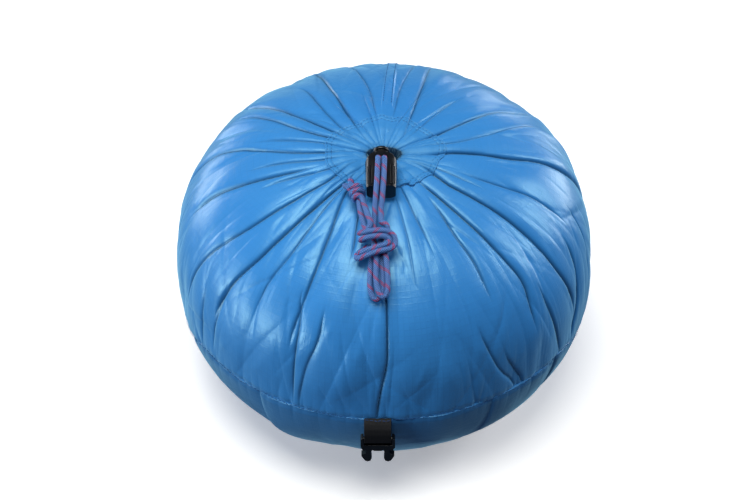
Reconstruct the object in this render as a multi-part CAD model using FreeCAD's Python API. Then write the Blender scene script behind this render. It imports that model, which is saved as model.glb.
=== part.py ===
import FreeCAD, Part

import math
import os

# A stuffed drawcord sack that stands on its round base. Millimetres, +Z up.
# The origin is on the floor, under the middle of the sack; -Y is the front.
# The mouth is gathered on top and slightly forward. A cord lock lies in front of it, and a
# webbing tab with half of a side-release buckle hangs from the base seam at the front.

Vector = FreeCAD.Vector
Rotation = FreeCAD.Rotation
Placement = FreeCAD.Placement

# ---- the sack ----
BAG_RADIUS = 165.0
EQUATOR_Z = 105.0
DOME_HEIGHT = 137.0
DOME_POWER = 2.5
FRONT_DROP = 18.0          # how much lower the dome is towards the front
DROP_STARTS_Y = 40.0
DROP_LENGTH = 140.0
CREST_SHIFT = 30.0         # the dome's highest point is this far behind the middle
CREST_Z = 238.5
BASE_DEPTH = 125.4         # depth of the full lower bowl, before the floor flattens it
BASE_POWER = 2.13
SEAM_Z = 98.0
SKIN = 0.8                 # fabric, thicker than the real 0.1 mm cloth
TAPE_WIDTH = 6.0
TAPE_THICK = 1.0
BACK_SEAM_WIDTH = 9.0
FILL_GAP = 1.0             # between the load and what lines the skin
FILL_HEADROOM = 6.0
THROAT_DEPTH = 26.0

# ---- the gathered mouth: a dished ring in a tilted plane, narrower front to back ----
MOUTH = Vector(0.0, -21.0, 231.0)
MOUTH_TILT = 14.4
COLLAR_RADIUS = 43.0
HOLE_RADIUS = 16.0
COLLAR_SQUASH = 0.75       # front-to-back size over side-to-side size
DISH_DEPTH = 4.5
TUNNEL_OUTER = 36.0
TUNNEL_HEIGHT = 6.8
DRAWCORD_LOOP_RADIUS = 22.5
DRAWCORD_LOOP_DROP = -7.1  # its plane, measured from the collar's outer edge

# ---- the cord ----
CORD = 4.0
STRAND_SPACING = 4.3

# ---- the cord lock, lying forward of the mouth ----
LOCK_FOOT = Vector(-2.0, -67.5, 231.3)   # middle of the barrel's closed end
LOCK_PITCH = 5.0
LOCK_WIDTH = 23.0
LOCK_THICK = 13.0
BARREL_LENGTH = 34.0
SHOULDER_RADIUS = 8.0
STEM_WIDTH = 10.6
STEM_THICK = 8.4
STEM_FIT = 0.15
STEM_FOOT = 13.0
STEM_TOP = 38.9
BUTTON_DIAMETER = 12.4
BUTTON_THICK = 2.6
PLUNGER_TRAVEL = 4.5
CORD_HOLE_AT = 24.0        # along the barrel
CORD_HOLE_CLEARANCE = 0.3
SPRING_WIRE = 0.8
SPRING_DIAMETER = 6.6
SPRING_TURNS = 5
SPRING_SEAT = 4.0

# ---- webbing tab and side-release buckle, 20 mm size ----
TAB_X = -4.5
TAB_Y = -168.6
TAB_TOP_Z = 98.0
BAR_Z = 83.0
WEBBING_WIDTH = 20.0
WEBBING_THICK = 1.4
BAR_RADIUS = 1.6
BAR_FIT = 0.3
FRAME_WIDTH = 25.0
FRAME_THICK = 5.0
RAIL = 2.2
FRAME_BLOCK_TOP = -4.9     # below the bar
FRAME_BLOCK_FOOT = -11.0
PRONG_PIVOT_X = 6.4
PRONG_PIVOT_Z = -10.4
PRONG_KNUCKLE = 2.3
KNUCKLE_FIT = 0.05
PRONG_THICK = 4.2

STEPS = 24                 # points round each level outline of the sack
ANGLES = [2 * math.pi * step / STEPS for step in range(STEPS)]
DOME_SHARES = (0.0, 0.2, 0.4, 0.58, 0.73, 0.84, 0.92, 0.97, 1.0)   # heights of the dome's outlines


def save(shape, name):
    """Writes one node, after checking that it is a valid solid."""
    if not shape.isValid() or shape.Volume <= 0:
        raise ValueError(name + " is not a valid solid")
    shape.exportStep("parts/" + name + ".step")
    print(f"{name:24s} {len(shape.Solids)} solid(s) {shape.Volume / 1000:9.2f} cm3")


def smoothstep(t):
    t = min(max(t, 0.0), 1.0)
    return t * t * (3 - 2 * t)


# ---------------------------------------------------------------- the sack's soft form

def dome_z(x, y, inset):
    """Height of the dome above (x, y), with the whole form drawn in by inset."""
    radius = BAG_RADIUS - inset
    reach = min(math.hypot(x, y) / radius, 1.0)
    fullness = (1 - reach ** DOME_POWER) ** (1 / DOME_POWER)
    drop = FRONT_DROP * smoothstep((DROP_STARTS_Y - y) / DROP_LENGTH)
    return EQUATOR_Z + (DOME_HEIGHT - inset - drop) * fullness


def outline(level, inset):
    """Closed smooth curve round the sack at this height."""
    if level < EQUATOR_Z:
        radius = bowl_radius(level, inset)
        points = [
            Vector(radius * math.cos(angle), radius * math.sin(angle), level) for angle in ANGLES
        ]
        return closed_curve(points)
    centre_y = CREST_SHIFT * (level - EQUATOR_Z) / (CREST_Z - EQUATOR_Z)
    points = []
    for angle in ANGLES:
        near, far = 0.0, 1.4 * BAG_RADIUS
        while far - near > 0.001:
            middle = (near + far) / 2
            x = middle * math.cos(angle)
            y = centre_y + middle * math.sin(angle)
            inside = math.hypot(x, y) < BAG_RADIUS - inset and dome_z(x, y, inset) > level
            near, far = (middle, far) if inside else (near, middle)
        points.append(Vector(near * math.cos(angle), centre_y + near * math.sin(angle), level))
    return closed_curve(points)


def closed_curve(points):
    curve = Part.BSplineCurve()
    curve.interpolate(points, PeriodicFlag=True)
    return Part.Wire([curve.toShape()])


def bowl_radius(z, inset):
    depth = (EQUATOR_Z - z) / (BASE_DEPTH - inset)
    return (BAG_RADIUS - inset) * (1 - depth ** BASE_POWER) ** (1 / BASE_POWER)


def sack_solid(inset, low_levels, crest):
    """Solid from the lowest level, over the equator, up to a small flat at the crest."""
    rise = crest - EQUATOR_Z
    high_levels = [EQUATOR_Z + rise * share for share in DOME_SHARES]
    return Part.makeLoft([outline(level, inset) for level in low_levels + high_levels], True, False)


def bowl_solid(low, high, inset):
    """Solid of revolution of the lower bowl between two heights."""
    levels = [low + (high - low) * step / 8 for step in range(9)]
    side = Part.BSplineCurve()
    side.interpolate([Vector(bowl_radius(z, inset), 0, z) for z in levels])
    bottom = Vector(0, 0, low)
    top = Vector(0, 0, high)
    rim = Vector(bowl_radius(high, inset), 0, high)
    foot = Vector(bowl_radius(low, inset), 0, low)
    edges = [
        Part.makeLine(bottom, foot),
        side.toShape(),
        Part.makeLine(rim, top),
        Part.makeLine(top, bottom),
    ]
    return Part.Face(Part.Wire(edges)).revolve(Vector(0, 0, 0), Vector(0, 0, 1), 360)


def collar_place():
    return Placement(MOUTH, Rotation(Vector(1, 0, 0), MOUTH_TILT))


def squashed(shape):
    """Squeezes a shape front to back and puts it in the tilted plane of the mouth."""
    matrix = FreeCAD.Matrix()
    matrix.scale(Vector(1.0, COLLAR_SQUASH, 1.0))
    result = shape.transformGeometry(matrix)
    result.Placement = collar_place().multiply(result.Placement)
    return result


def ring(profile):
    """Revolves an outline given as (radius, height) pairs about the mouth's axis."""
    points = [Vector(r, 0, h) for r, h in profile]
    face = Part.Face(Part.makePolygon(points + points[:1]))
    return face.revolve(Vector(0, 0, 0), Vector(0, 0, 1), 360)


def collar_cutter(margin):
    return squashed(Part.makeCylinder(COLLAR_RADIUS + margin, 60, Vector(0, 0, -25)))


def make_fabric():
    outer = sack_solid(0, [SEAM_Z], CREST_Z)
    inner = sack_solid(SKIN, [SEAM_Z - 1], CREST_Z - SKIN)
    shell = outer.cut(inner).cut(collar_cutter(0))
    save(max(shell.Solids, key=lambda s: s.Volume), "body_shell")

    base = bowl_solid(0, SEAM_Z, 0).cut(bowl_solid(SKIN, SEAM_Z, SKIN))
    save(base, "base_panel")

    tape_inner = bowl_solid(SEAM_Z - TAPE_WIDTH, SEAM_Z, SKIN + TAPE_THICK)
    tape = bowl_solid(SEAM_Z - TAPE_WIDTH, SEAM_Z, SKIN).cut(tape_inner)
    save(tape, "base_seam_tape")


def make_collar():
    slope = DISH_DEPTH / (COLLAR_RADIUS - HOLE_RADIUS)

    def top(radius):
        return -slope * (COLLAR_RADIUS - radius)

    deep = TUNNEL_HEIGHT + 2 * SKIN
    outline = [
        (COLLAR_RADIUS, 0),
        (COLLAR_RADIUS, -2 * SKIN),
        (TUNNEL_OUTER + 1.5, top(TUNNEL_OUTER) - 3 * SKIN),
        (TUNNEL_OUTER - 2, top(TUNNEL_OUTER) - deep),
        (HOLE_RADIUS + 1, top(HOLE_RADIUS) - deep),
        (HOLE_RADIUS, top(HOLE_RADIUS) - deep + 1),
        (HOLE_RADIUS, top(HOLE_RADIUS) - 1),
        (HOLE_RADIUS + 1, top(HOLE_RADIUS)),
    ]
    tunnel = [
        (TUNNEL_OUTER, top(TUNNEL_OUTER) - SKIN),
        (TUNNEL_OUTER - 2.5, top(TUNNEL_OUTER) - deep + SKIN),
        (HOLE_RADIUS + 1.2, top(HOLE_RADIUS) - deep + SKIN),
        (HOLE_RADIUS + 1.2, top(HOLE_RADIUS) - SKIN),
    ]
    collar = squashed(ring(outline)).cut(squashed(ring(tunnel)))
    buttonhole = lock_cord_slot(STRAND_SPACING + CORD + 0.6, CORD + 0.6, -13.0, -6.0)
    save(collar.cut(buttonhole), "drawcord_channel")


def make_back_seam():
    """Folded seam strip up the back, inside the shell, from the base seam to the collar."""
    half = BACK_SEAM_WIDTH / 2
    band = Part.makeBox(2 * half, BAG_RADIUS + 10, 260, Vector(-half, 0, SEAM_Z + 2))
    outer = sack_solid(SKIN + 0.1, [SEAM_Z], CREST_Z - SKIN - 0.1)
    inner_inset = SKIN + TAPE_THICK
    inner = sack_solid(inner_inset, [SEAM_Z - 1], CREST_Z - inner_inset)
    strip = outer.cut(inner).common(band).cut(collar_cutter(0.5))
    save(max(strip.Solids, key=lambda s: s.Volume), "back_seam_tape")


def make_contents():
    """The soft load that fills the sack, hollow under the mouth."""
    inset = SKIN + TAPE_THICK + FILL_GAP
    load = sack_solid(inset, [inset, inset + 2, 12, 30, 55, 80], CREST_Z - inset - FILL_HEADROOM)
    under_collar = squashed(Part.makeCylinder(COLLAR_RADIUS + 1, 60, Vector(0, 0, -DISH_DEPTH - 10)))
    throat = squashed(Part.makeCylinder(HOLE_RADIUS + 1, 60, Vector(0, 0, -THROAT_DEPTH)))
    load = load.cut(under_collar).cut(throat).removeSplitter()
    save(max(load.Solids, key=lambda s: s.Volume), "packed_contents")


# ---------------------------------------------------------------- the cord lock

def lock_place():
    """Barrel's own Z runs from its closed end to the button; its -Y face looks up."""
    return Placement(LOCK_FOOT, Rotation(Vector(1, 0, 0), LOCK_PITCH - 90))


def in_lock(shape):
    shape.Placement = lock_place().multiply(shape.Placement)
    return shape


def rounded_bar(width, thick, low, high):
    """Bar along Z whose section is a rectangle with half-round sides."""
    end = thick / 2
    reach = width / 2 - end
    bar = Part.makeBox(2 * reach, thick, high - low, Vector(-reach, -end, low))
    for side in (-reach, reach):
        bar = bar.fuse(Part.makeCylinder(end, high - low, Vector(side, 0, low)))
    return bar.removeSplitter()


def cord_slot(width, height, near, far, at):
    """Slot across the barrel, from y = near to y = far, centred at z = at."""
    end = height / 2
    reach = width / 2 - end
    slot = Part.makeBox(2 * reach, far - near, height, Vector(-reach, near, at - end))
    for side in (-reach, reach):
        slot = slot.fuse(Part.makeCylinder(end, far - near, Vector(side, near, at), Vector(0, 1, 0)))
    return slot.removeSplitter()


def lock_cord_slot(width, height, near, far):
    """The same slot placed on the sack; near and far are measured up from the barrel's middle."""
    return in_lock(cord_slot(width, height, -far, -near, CORD_HOLE_AT))


def make_lock():
    half = LOCK_WIDTH / 2
    side_top = BARREL_LENGTH - SHOULDER_RADIUS
    shoulder = half - SHOULDER_RADIUS
    corner = SHOULDER_RADIUS * math.sqrt(0.5)
    edges = [
        Part.makeLine(Vector(-half + 1.2, 0, 0), Vector(half - 1.2, 0, 0)),
        Part.makeLine(Vector(half - 1.2, 0, 0), Vector(half, 0, side_top)),
        Part.Arc(
            Vector(half, 0, side_top),
            Vector(shoulder + corner, 0, side_top + corner),
            Vector(shoulder, 0, BARREL_LENGTH),
        ).toShape(),
        Part.makeLine(Vector(shoulder, 0, BARREL_LENGTH), Vector(-shoulder, 0, BARREL_LENGTH)),
        Part.Arc(
            Vector(-shoulder, 0, BARREL_LENGTH),
            Vector(-shoulder - corner, 0, side_top + corner),
            Vector(-half, 0, side_top),
        ).toShape(),
        Part.makeLine(Vector(-half, 0, side_top), Vector(-half + 1.2, 0, 0)),
    ]
    bell = Part.Face(Part.Wire(edges)).extrude(Vector(0, LOCK_THICK, 0))
    bell.translate(Vector(0, -LOCK_THICK / 2, 0))
    oval = rounded_bar(LOCK_WIDTH + 0.4, LOCK_THICK, -1, BARREL_LENGTH + 1)
    barrel = bell.common(oval)
    barrel = barrel.cut(
        rounded_bar(STEM_WIDTH + 2 * STEM_FIT, STEM_THICK + 2 * STEM_FIT, STEM_FOOT - 6, BARREL_LENGTH + 1)
    )
    barrel = barrel.cut(Part.makeCylinder(SPRING_DIAMETER / 2 + 0.6, 6, Vector(0, 0, SPRING_SEAT)))
    clear = 2 * CORD_HOLE_CLEARANCE
    barrel = barrel.cut(
        cord_slot(STRAND_SPACING + CORD + clear, CORD + clear, -LOCK_THICK, LOCK_THICK, CORD_HOLE_AT)
    )
    for side in (-1, 1):
        for x in (7.2, 9.4):
            for face in (-1, 1):
                groove = Part.makeCylinder(0.5, 18, Vector(side * x, face * rib_face(x), 3))
                barrel = barrel.cut(groove)
    save(in_lock(barrel), "cord_lock_barrel")

    plunger = rounded_bar(STEM_WIDTH, STEM_THICK, STEM_FOOT, STEM_TOP)
    rim = Part.makeCylinder(BUTTON_DIAMETER / 2, BUTTON_THICK, Vector(0, 0, STEM_TOP))
    plunger = plunger.fuse(rim.makeFillet(0.9, [e for e in rim.Edges if e.Closed]))
    slot_low = CORD_HOLE_AT - CORD / 2 - CORD_HOLE_CLEARANCE
    slot_high = CORD_HOLE_AT + CORD / 2 + CORD_HOLE_CLEARANCE + PLUNGER_TRAVEL
    slot_width = STRAND_SPACING + CORD + clear
    plunger = plunger.cut(
        Part.makeBox(slot_width, 20, slot_high - slot_low, Vector(-slot_width / 2, -10, slot_low))
    )
    save(in_lock(plunger), "cord_lock_plunger")

    height = STEM_FOOT - SPRING_SEAT - SPRING_WIRE
    radius = (SPRING_DIAMETER - SPRING_WIRE) / 2
    coil = Part.makeHelix(height / SPRING_TURNS, height, radius)
    start = Part.makeCircle(SPRING_WIRE / 2, Vector(radius, 0, 0), Vector(0, 1, 0))
    spring = Part.Wire(coil.Edges).makePipeShell([Part.Wire([start])], True, True)
    spring.translate(Vector(0, 0, SPRING_SEAT + SPRING_WIRE / 2))
    save(in_lock(spring), "cord_lock_spring")


def rib_face(x):
    """Where the barrel's rounded side is, x from its middle."""
    end = LOCK_THICK / 2
    beyond = max(x - (LOCK_WIDTH / 2 + 0.2 - end), 0)
    return math.sqrt(end * end - beyond * beyond)


# ---------------------------------------------------------------- the cord

def tube(points, diameter, name):
    """Round tube along straight runs joined by tangent arcs as large as the runs allow."""
    route = [Vector(*p) for p in points]
    edges = []
    start = route[0]
    radii = []
    for before, corner, after in zip(route, route[1:], route[2:]):
        back = before - corner
        on = after - corner
        turn = math.pi - back.getAngle(on)
        reach = 0.45 * min(back.Length, on.Length)
        radii.append(reach / math.tan(turn / 2))
        back.normalize()
        on.normalize()
        enter = corner + back * reach
        leave = corner + on * reach
        bisector = back + on
        bisector.normalize()
        to_centre = radii[-1] / math.cos(turn / 2)
        middle = corner + bisector * (to_centre - radii[-1])
        edges.append(Part.makeLine(start, enter))
        edges.append(Part.Arc(enter, middle, leave).toShape())
        start = leave
    edges.append(Part.makeLine(start, route[-1]))
    path = Part.Wire(edges)
    section = Part.Wire([Part.makeCircle(diameter / 2, route[0], route[1] - route[0])])
    solid = path.makePipeShell([section], True, False)
    ratio = solid.Volume / (math.pi * diameter ** 2 / 4 * path.Length)
    print(f"{name}: {path.Length:.1f} mm, volume ratio {ratio:.4f}, radii {[round(r, 1) for r in radii]}")
    save(solid, name)


def make_drawcord():
    """The cord inside the collar: a closed loop whose two ends rise through the lock."""
    loop = Part.makeTorus(DRAWCORD_LOOP_RADIUS, CORD / 2, Vector(0, 0, DRAWCORD_LOOP_DROP))
    loop.Placement = collar_place().multiply(loop.Placement)
    ends = []
    for side in (-0.5, 0.5):
        end = Part.makeCylinder(
            CORD / 2, 20.5, Vector(side * STRAND_SPACING, -LOCK_THICK / 2, CORD_HOLE_AT), Vector(0, 1, 0)
        )
        ends.append(in_lock(end))
    save(loop.fuse(ends).removeSplitter(), "drawcord_loop")


def make_free_cord():
    """Both ends of the cord: out of the lock, through the big knot, round a bight, back through
    the big knot, and into the end knot with two short tails."""
    strands = {
        "cord_strand_left": [
            (-4.15, -44.2, 239.6), (-4.15, -44.55, 243.6), (-4.25, -47.8, 246.3), (-4.3, -53.0, 245.4),
            (-4.6, -60.0, 243.2), (-5.0, -68.0, 240.5), (-5.7, -76.0, 235.2), (-6.4, -83.6, 228.2),
            (-6.7, -92.0, 220.6),
        ],
        "cord_strand_right": [
            (0.15, -44.2, 239.6), (0.15, -44.55, 243.7), (0.2, -48.4, 246.3), (0.1, -54.0, 245.2),
            (-0.1, -61.0, 242.9), (-0.5, -69.0, 240.1), (-1.3, -77.0, 234.5), (-2.1, -84.0, 228.0),
            (-2.4, -92.2, 220.4),
        ],
        "cord_bight_under": [
            (-7.6, -106.6, 210.6), (-9.3, -114.0, 206.4), (-9.7, -120.6, 202.0), (-9.6, -127.2, 196.8),
            (-4.9, -129.2, 195.0), (-0.2, -127.2, 196.8), (0.1, -120.4, 202.1), (-0.5, -113.6, 206.6),
            (-2.2, -106.6, 210.6),
        ],
        "cord_bight_over": [
            (-5.0, -107.4, 214.6), (-5.0, -115.4, 210.4), (-5.4, -123.0, 205.6), (-5.3, -130.0, 200.2),
            (-0.6, -132.0, 198.4), (4.1, -130.0, 200.2), (4.3, -122.8, 205.8), (3.2, -115.2, 210.5),
            (1.4, -107.4, 214.6),
        ],
        "cord_return_left": [
            (-14.8, -96.0, 216.4), (-16.4, -88.4, 219.6), (-18.8, -80.4, 223.6), (-20.6, -70.6, 227.6),
        ],
        "cord_return_right": [
            (-10.9, -95.0, 219.6), (-12.2, -87.6, 224.6), (-15.0, -79.6, 228.6), (-18.4, -71.0, 231.6),
        ],
        "cord_tail_left": [(-23.4, -62.4, 228.6), (-26.6, -56.6, 227.8), (-31.0, -51.6, 227.2)],
        "cord_tail_right": [(-20.6, -62.0, 232.0), (-22.0, -55.4, 231.4), (-26.0, -49.6, 230.6)],
    }
    for name, points in strands.items():
        tube(points, CORD, name)


def ball(size, place):
    """Ellipsoid with these half sizes."""
    matrix = FreeCAD.Matrix()
    matrix.scale(Vector(*size))
    solid = Part.makeSphere(1.0).transformGeometry(matrix)
    solid.Placement = place.multiply(solid.Placement)
    return solid


def make_knots():
    middle = ball((14.2, 11.0, 7.6), Placement(Vector(-5.0, -101.0, 217.0), Rotation(Vector(1, 0, 0), 23)))
    save(middle, "cord_middle_knot")
    end = ball((6.8, 6.6, 5.8), Placement(Vector(-20.8, -66.4, 229.8), Rotation(Vector(0, 0, 1), 30)))
    save(end, "cord_end_knot")


# ---------------------------------------------------------------- webbing tab and buckle

def belt_face(small, large, distance):
    """Outline round two circles, the small one on the X axis and the large one distance below."""
    lean = math.asin((large - small) / distance)
    cos, sin = math.cos(lean), math.sin(lean)
    right_top = Vector(0, small * cos, small * sin)
    right_low = Vector(0, large * cos, large * sin - distance)
    left_top = Vector(0, -small * cos, small * sin)
    left_low = Vector(0, -large * cos, large * sin - distance)
    edges = [
        Part.makeLine(right_low, right_top),
        Part.Arc(right_top, Vector(0, 0, small), left_top).toShape(),
        Part.makeLine(left_top, left_low),
        Part.Arc(left_low, Vector(0, 0, -distance - large), right_low).toShape(),
    ]
    return Part.Face(Part.Wire(edges))


def make_webbing():
    """Loop of flat webbing, sewn into the base seam at its top, round the buckle's bar below."""
    drop = TAB_TOP_Z - BAR_Z
    inside = BAR_RADIUS + BAR_FIT
    outer = belt_face(WEBBING_THICK + 0.1, inside + WEBBING_THICK, drop)
    inner = belt_face(0.1, inside, drop)
    loop = outer.cut(inner).extrude(Vector(WEBBING_WIDTH, 0, 0))
    loop.translate(Vector(TAB_X - WEBBING_WIDTH / 2, TAB_Y, TAB_TOP_Z))
    save(loop.removeSplitter(), "buckle_webbing")


def in_buckle(shape):
    """Buckle coordinates have their origin at the middle of the ladder bar."""
    shape.translate(Vector(TAB_X, TAB_Y, BAR_Z))
    return shape


def plate(outline, thick):
    """Flat piece from an outline of (x, z) points, centred on y = 0."""
    points = [Vector(x, -thick / 2, z) for x, z in outline]
    return Part.Face(Part.makePolygon(points + points[:1])).extrude(Vector(0, thick, 0))


def make_buckle():
    half = FRAME_WIDTH / 2
    inner = half - RAIL
    bar = Part.makeCylinder(BAR_RADIUS, FRAME_WIDTH - 1, Vector(-half + 0.5, 0, 0), Vector(1, 0, 0))
    body = plate(
        [
            (-half, 1.6), (-half + 1.2, 2.6), (-inner, 2.6), (-inner, FRAME_BLOCK_TOP),
            (inner, FRAME_BLOCK_TOP), (inner, 2.6), (half - 1.2, 2.6), (half, 1.6),
            (half, -7.4), (half - 2.0, FRAME_BLOCK_FOOT), (-half + 2.0, FRAME_BLOCK_FOOT), (-half, -7.4),
        ],
        FRAME_THICK,
    )
    frame = body.fuse(bar).removeSplitter()
    for side in (-1, 1):
        pivot = Vector(side * PRONG_PIVOT_X, -FRAME_THICK, PRONG_PIVOT_Z)
        frame = frame.cut(Part.makeCylinder(PRONG_KNUCKLE + KNUCKLE_FIT, 2 * FRAME_THICK, pivot, Vector(0, 1, 0)))
        relief = plate(
            [(side * 3.4, -10.2), (side * 9.4, -10.2), (side * 10.8, -12.0), (side * 2.0, -12.0)],
            FRAME_THICK + 1,
        )
        frame = frame.cut(relief)
    save(in_buckle(frame), "buckle_frame")

    for side, name in ((-1, "buckle_left_prong"), (1, "buckle_right_prong")):
        outline = [
            (4.6, -10.6), (8.3, -10.6), (8.7, -14.2), (12.1, -16.0), (12.0, -17.6), (9.6, -22.4),
            (7.6, -23.6), (5.4, -22.6), (4.4, -19.4), (5.0, -15.4),
        ]
        prong = plate([(side * x, z) for x, z in outline], PRONG_THICK)
        pivot = Vector(side * PRONG_PIVOT_X, -PRONG_THICK / 2, PRONG_PIVOT_Z)
        prong = prong.fuse(Part.makeCylinder(PRONG_KNUCKLE, PRONG_THICK, pivot, Vector(0, 1, 0)))
        save(in_buckle(prong.removeSplitter()), name)


def main():
    os.makedirs("parts", exist_ok=True)
    make_fabric()
    make_collar()
    make_back_seam()
    make_contents()
    make_lock()
    make_drawcord()
    make_free_cord()
    make_knots()
    make_webbing()
    make_buckle()


main()
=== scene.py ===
import math

import bpy
import numpy as np
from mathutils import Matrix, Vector


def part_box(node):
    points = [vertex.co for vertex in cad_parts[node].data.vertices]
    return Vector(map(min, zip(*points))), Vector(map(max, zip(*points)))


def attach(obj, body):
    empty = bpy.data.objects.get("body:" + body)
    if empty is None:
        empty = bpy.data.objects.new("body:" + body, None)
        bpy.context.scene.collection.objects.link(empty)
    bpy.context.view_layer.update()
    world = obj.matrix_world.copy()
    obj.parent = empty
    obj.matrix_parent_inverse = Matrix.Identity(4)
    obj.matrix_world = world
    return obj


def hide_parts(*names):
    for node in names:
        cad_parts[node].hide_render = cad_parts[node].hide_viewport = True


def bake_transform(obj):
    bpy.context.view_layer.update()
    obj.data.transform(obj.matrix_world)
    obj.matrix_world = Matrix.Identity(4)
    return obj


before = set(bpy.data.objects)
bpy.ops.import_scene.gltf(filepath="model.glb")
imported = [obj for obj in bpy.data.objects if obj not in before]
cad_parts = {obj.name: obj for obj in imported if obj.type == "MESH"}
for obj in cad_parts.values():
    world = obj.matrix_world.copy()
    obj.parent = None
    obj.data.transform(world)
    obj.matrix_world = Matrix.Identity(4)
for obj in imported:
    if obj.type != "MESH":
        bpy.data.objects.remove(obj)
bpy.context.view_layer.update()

# Looks for a stuffed drawcord sack. The frame is the CAD's: +Z up, front = -Y.
# Lengths here are in millimetres unless a name says otherwise, and MM turns them into metres.

MM = 0.001
TAU = 2 * math.pi

# ---- the sack's smooth form, the same sizes as the CAD ----
R = 165.0
EQUATOR_Z = 105.0
SEAM_Z = 98.0
DOME_HEIGHT = 137.0
DOME_POWER = 2.5
FRONT_DROP = 18.0
DROP_STARTS_Y = 40.0
DROP_LENGTH = 140.0
BASE_DEPTH = 125.4
BASE_POWER = 2.13
MOUTH_Y = -21.0
CORD = 4.0

# ---- the cloth's own sizes, which the plainer CAD doesn't have ----
SEAM_SAG = 20.0            # how much lower the base seam is at the two sides
HOLE_X = 13.0              # half sizes of the mouth, drawn in a little tighter than the CAD's
HOLE_Y = 6.0
RING_X = 43.5              # half sizes of the collar's sewn edge
RING_Y = 31.0
DIMPLE_Y = -26.0
DIMPLE_DEPTH = 7.0
DIMPLE_REACH = 52.0
CARRIERS = 8               # strands of the cord's braid that wind each way
LAY = 11.0                 # length of cord in which a carrier goes round once
FABRIC_LENGTH = 225.0      # about the length of cloth from the mouth to the base seam
COLLAR_STITCHES = (0.955, 0.86)    # outer and inner row, as shares of the way across the collar
KNOT_CENTRE = (-4.9, -105, 215.4)
KNOT_TILT = math.radians(23)       # slope of the cloth under the big knot

# ---- mesh density ----
SECTORS = 1440
DOME_ROWS = 180
COLLAR_ROWS = 46
BASE_ROWS = 96


# -------- small helpers

def smoothstep(t):
    t = np.clip(t, 0.0, 1.0)
    return t * t * (3 - 2 * t)


def wrap(angle):
    return (angle + math.pi) % TAU - math.pi


def link(obj):
    bpy.context.scene.collection.objects.link(obj)
    return obj


def unit(vectors):
    return vectors / np.linalg.norm(vectors, axis=-1, keepdims=True)


def arc_of(points):
    """Length along lines of points that run down the first axis, from 0, at each point."""
    steps = np.linalg.norm(np.diff(points, axis=0), axis=-1)
    return np.concatenate([np.zeros_like(steps[:1]), np.cumsum(steps, 0)])


def along(values, arc, at):
    """Values given at the lengths `arc` of a line, interpolated at the lengths `at`."""
    return np.stack([np.interp(at, arc, column) for column in values.T], -1)


def even_angles():
    return np.linspace(0, TAU, SECTORS, endpoint=False)


def outward(theta):
    return np.stack([np.cos(theta), np.sin(theta), np.zeros_like(theta)], -1)


def make_object(name, vertices, faces):
    """Smooth mesh object from points in millimetres."""
    mesh = bpy.data.meshes.new(name)
    mesh.from_pydata((np.asarray(vertices, float).reshape(-1, 3) * MM).tolist(), [], faces)
    mesh.polygons.foreach_set("use_smooth", [True] * len(mesh.polygons))
    mesh.update()
    return link(bpy.data.objects.new(name, mesh))


def grid_faces(rows, columns):
    """Quads of a grid of points whose columns go round anticlockwise and whose rows go down."""
    i, j = np.meshgrid(np.arange(rows - 1), np.arange(columns), indexing="ij")
    k = (j + 1) % columns
    quads = np.stack([i * columns + j, (i + 1) * columns + j, (i + 1) * columns + k, i * columns + k], -1)
    return quads.reshape(-1, 4).tolist()


def tube_faces(rows, columns):
    """The same quads, with the first and last ring of points filled too."""
    first = list(range(columns))
    last = [(rows - 1) * columns + j for j in range(columns)]
    return grid_faces(rows, columns) + [first, last[::-1]]


def corner_vertices(mesh):
    """The vertex at each corner of each face."""
    vertex = np.empty(len(mesh.loops), int)
    mesh.loops.foreach_get("vertex_index", vertex)
    return vertex


def add_uv(obj, down):
    """UV layer in metres: u goes round the piece, and v is `down`, one length for each ring."""
    u = np.tile(even_angles() * R, len(down))
    v = np.repeat(down, SECTORS)
    mesh = obj.data
    layer = mesh.uv_layers.new(name="UVMap")
    vertex = corner_vertices(mesh)
    quads = sum(1 for p in mesh.polygons if len(p.vertices) == 4) * 4
    u_corner = u[vertex[:quads]].reshape(-1, 4)
    span = u.max() - u.min()
    behind = (u_corner.max(1, keepdims=True) - u_corner) > span / 2
    step = span / (SECTORS - 1)
    u_corner = np.where(behind, u_corner + span + step, u_corner)
    u_all = np.concatenate([u_corner.ravel(), u[vertex[quads:]]])
    uv = np.stack([u_all, v[vertex]], -1) * MM
    layer.data.foreach_set("uv", uv.astype(np.float32).ravel())


def add_shade(obj, inside, closed, tucked):
    """Fold shade for the material: 1 in the throat's rows, `closed` on the face, 1 where tucked under."""
    throat = np.ones((inside, SECTORS))
    under = np.ones((tucked, SECTORS))
    shade = np.concatenate([throat, closed, under])
    layer = obj.data.attributes.new("fold_shade", "FLOAT", "POINT")
    layer.data.foreach_set("value", shade.astype(np.float32).ravel())


def grid_normals(points):
    """Outward unit normals of a grid of points (rows, columns, 3) that closes round."""
    down = np.gradient(points, axis=0)
    across = (np.roll(points, -1, 1) - np.roll(points, 1, 1)) / 2
    n = np.cross(down, across)
    return n / np.maximum(np.linalg.norm(n, axis=2, keepdims=True), 1e-9)


# -------- the sack's smooth form

def dome_z(x, y):
    """Height of the stuffed top, with the shallow dip round the mouth."""
    q = np.clip((np.hypot(x, y) / R) ** DOME_POWER, 0, 1)
    rise = DOME_HEIGHT - FRONT_DROP * smoothstep((DROP_STARTS_Y - y) / DROP_LENGTH)
    near = np.clip(np.hypot(x, (y - DIMPLE_Y) * 1.25) / DIMPLE_REACH, 0, 1)
    dip = DIMPLE_DEPTH * (1 - near) ** 2 * (1 + 2 * near)
    return EQUATOR_Z + rise * (1 - q) ** (1 / DOME_POWER) - dip


def bowl_radius(z):
    """Radius of the base below the equator."""
    return R * (1 - ((EQUATOR_Z - z) / BASE_DEPTH) ** BASE_POWER) ** (1 / BASE_POWER)


FLOOR_RADIUS = bowl_radius(0.0)


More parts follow.
